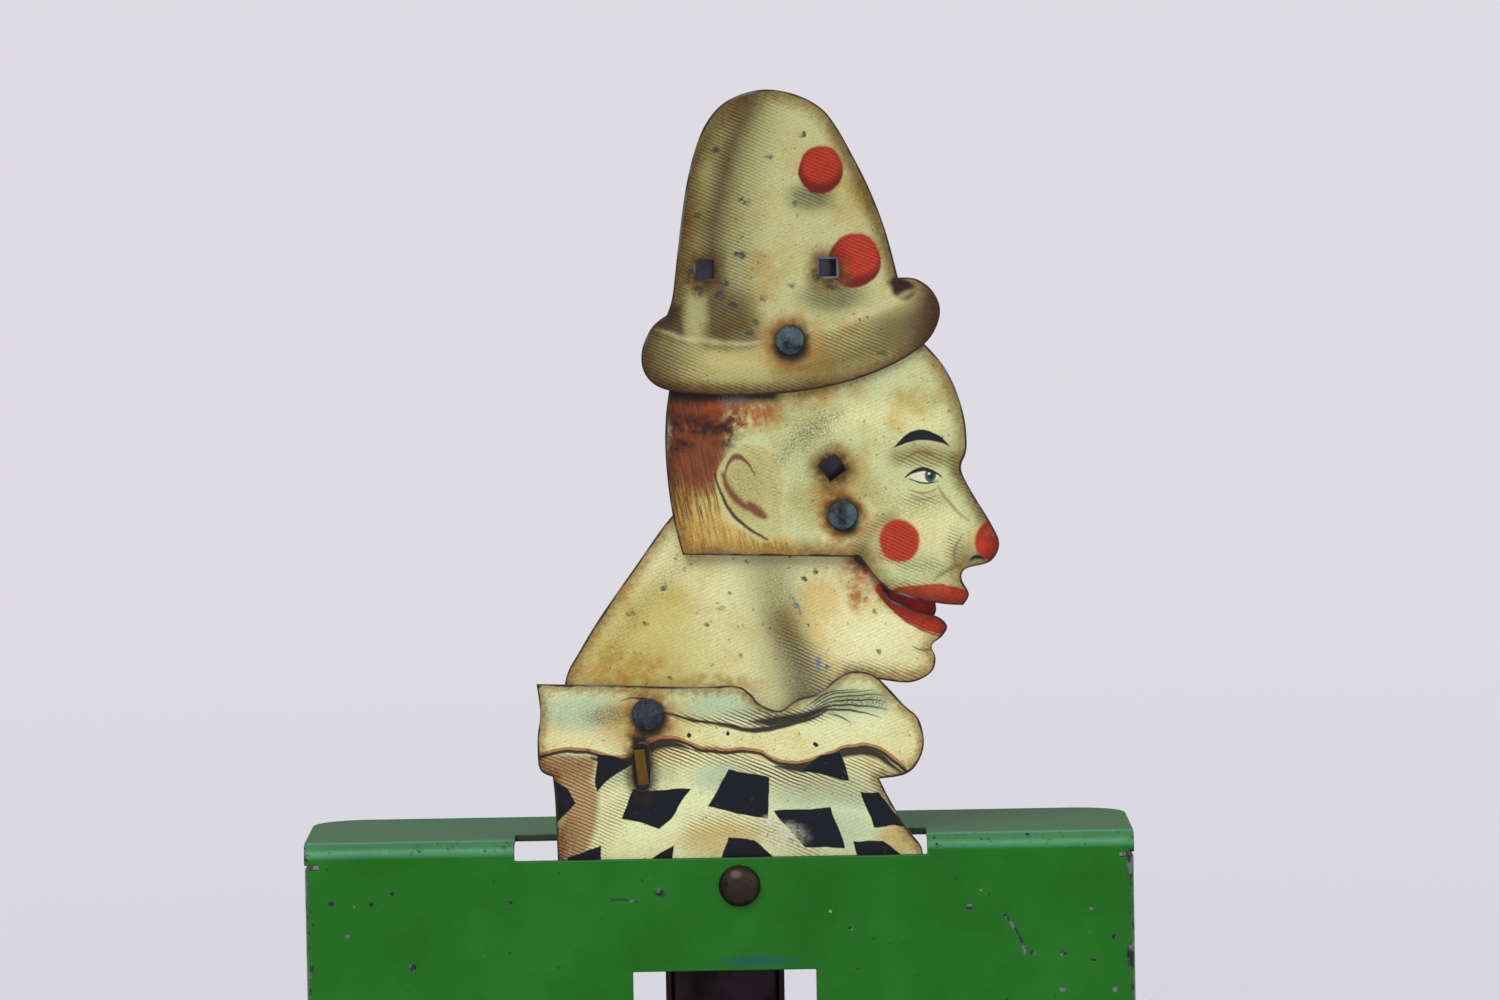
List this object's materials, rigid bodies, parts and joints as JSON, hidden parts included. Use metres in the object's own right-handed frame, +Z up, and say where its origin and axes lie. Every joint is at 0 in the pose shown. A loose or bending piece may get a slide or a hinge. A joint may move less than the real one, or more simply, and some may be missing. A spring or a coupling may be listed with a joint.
{
  "type": "tin wind-up toy",
  "caption": "Wind-up tin clown: riveted flat plates that nod and open the mouth over a green pressed housing, driven by a rocker and a key-wound clockwork.",
  "frame": {"origin": "underside of the base tray, under the middle of the front panel", "axes": "+X to the viewer's right along the front panel, +Y from the front panel to the back, +Z up"},
  "size_m": [0.1019, 0.0643, 0.1542],
  "materials": {
    "green_enamel": "glossy stoved enamel, chipped at the edges",
    "cream_litho": "aged lithographed tinplate under varnish",
    "red_litho": "red lithographed tinplate",
    "dark_steel": "blue-black oxidised rivet steel",
    "bronze": "dark tarnished bronze",
    "tinplate": "bare tinplate",
    "brass": "stamped brass",
    "blued_steel": "blued spring steel",
    "bright_steel": "bright mild steel"
  },
  "bodies": {
    "housing": {"front_housing": "green_enamel", "base_tray": "tinplate", "left_bracket": "tinplate", "right_bracket": "tinplate", "bracket_rivet_1": "bright_steel", "bracket_rivet_2": "bright_steel", "bracket_rivet_3": "bright_steel", "bracket_rivet_4": "bright_steel", "motor_foot_rivet_1": "bright_steel", "motor_foot_rivet_2": "bright_steel", "motor_foot_rivet_3": "bright_steel", "motor_foot_rivet_4": "bright_steel", "left_side_rivet": "bright_steel", "right_side_rivet": "bright_steel", "costume_plate": "cream_litho", "front_rivet": "bronze", "collar_rivet": "dark_steel", "collar_washer": "dark_steel", "rocker_stud": "bright_steel", "motor_front_plate": "bright_steel", "motor_back_plate": "bright_steel", "motor_pillar_1": "bright_steel", "motor_pillar_2": "bright_steel", "motor_pillar_3": "bright_steel", "motor_pillar_4": "bright_steel", "spring_post": "bright_steel", "lever_stud": "bright_steel", "mainspring": "blued_steel"},
    "neck": {"neck_plate": "cream_litho", "mouth_plate": "red_litho", "mouth_rivet": "dark_steel", "head_rivet": "dark_steel", "head_washer": "dark_steel"},
    "head": {"head_plate": "cream_litho", "hat_rivet": "dark_steel"},
    "hat": {"hat_plate": "cream_litho"},
    "link": {"jaw_link": "brass"},
    "rocker": {"rocker_arm": "blued_steel", "drive_pin": "bright_steel"},
    "winding_shaft": {"winding_arbor": "bright_steel", "ratchet_wheel": "bright_steel", "winding_key": "bright_steel"},
    "great_wheel_set": {"great_wheel": "brass", "click_leaf": "bright_steel", "click_rivet": "bright_steel"},
    "second_shaft": {"second_arbor": "bright_steel", "second_pinion": "bright_steel", "second_wheel": "brass", "crank_disc": "brass", "crank_pin": "bright_steel"},
    "third_shaft": {"third_arbor": "bright_steel", "third_pinion": "bright_steel", "star_wheel": "brass"},
    "verge": {"verge_staff": "bright_steel", "verge_plate": "bright_steel", "left_verge_pin": "bright_steel", "right_verge_pin": "bright_steel"},
    "stop_lever_set": {"stop_lever": "bronze", "stop_finger": "bright_steel"}
  },
  "joints": [
    {"name": "rocker_swing", "type": "hinge", "parent": "housing", "child": "rocker", "pos_m": [0.0004, 0, 0.036], "axis": [0, -1, 0], "range_deg": [-7, 7]},
    {"name": "neck_nod", "type": "hinge", "parent": "housing", "child": "neck", "pos_m": [-0.0076, 0, 0.08566], "axis": [0, -1, 0], "range_deg": [-8, 8]},
    {"name": "mouth_open", "type": "hinge", "parent": "neck", "child": "head", "pos_m": [0.01426, 0, 0.1073], "axis": [0, -1, 0], "range_deg": [-4, 4]},
    {"name": "link_swing", "type": "hinge", "parent": "housing", "child": "link", "pos_m": [-0.00837, 0, 0.07986], "axis": [0, -1, 0], "range_deg": [-7.4, 7.4]},
    {"name": "hat_tip", "type": "hinge", "parent": "head", "child": "hat", "pos_m": [0.00876, 0, 0.12664], "axis": [0, -1, 0], "range_deg": [-4.5, 4.5]},
    {"name": "winding_turn", "type": "hinge", "parent": "housing", "child": "winding_shaft", "pos_m": [-0.01476, 0, 0.02675], "axis": [0, -1, 0], "continuous": true},
    {"name": "great_wheel_turn", "type": "hinge", "parent": "housing", "child": "great_wheel_set", "pos_m": [-0.01476, 0, 0.02675], "axis": [0, -1, 0], "continuous": true},
    {"name": "second_shaft_turn", "type": "hinge", "parent": "housing", "child": "second_shaft", "pos_m": [0.0004, 0, 0.018], "axis": [0, -1, 0], "continuous": true},
    {"name": "third_shaft_turn", "type": "hinge", "parent": "housing", "child": "third_shaft", "pos_m": [0.01209, 0, 0.02475], "axis": [0, -1, 0], "continuous": true},
    {"name": "verge_swing", "type": "hinge", "parent": "housing", "child": "verge", "pos_m": [0.01209, 0, 0.03435], "axis": [0, -1, 0], "range_deg": [-3, 3]},
    {"name": "stop_lever_turn", "type": "hinge", "parent": "housing", "child": "stop_lever_set", "pos_m": [0.018, 0, 0.0468], "axis": [0, -1, 0], "range_deg": [-8, 0]}
  ],
  "couplings": [
    {"joint": "neck_nod", "follows": "rocker_swing", "ratio": -1.129},
    {"joint": "mouth_open", "follows": "rocker_swing", "ratio": -0.5662},
    {"joint": "link_swing", "follows": "rocker_swing", "ratio": -1.0399},
    {"joint": "second_shaft_turn", "follows": "great_wheel_turn", "ratio": -4},
    {"joint": "third_shaft_turn", "follows": "great_wheel_turn", "ratio": 16}
  ]
}
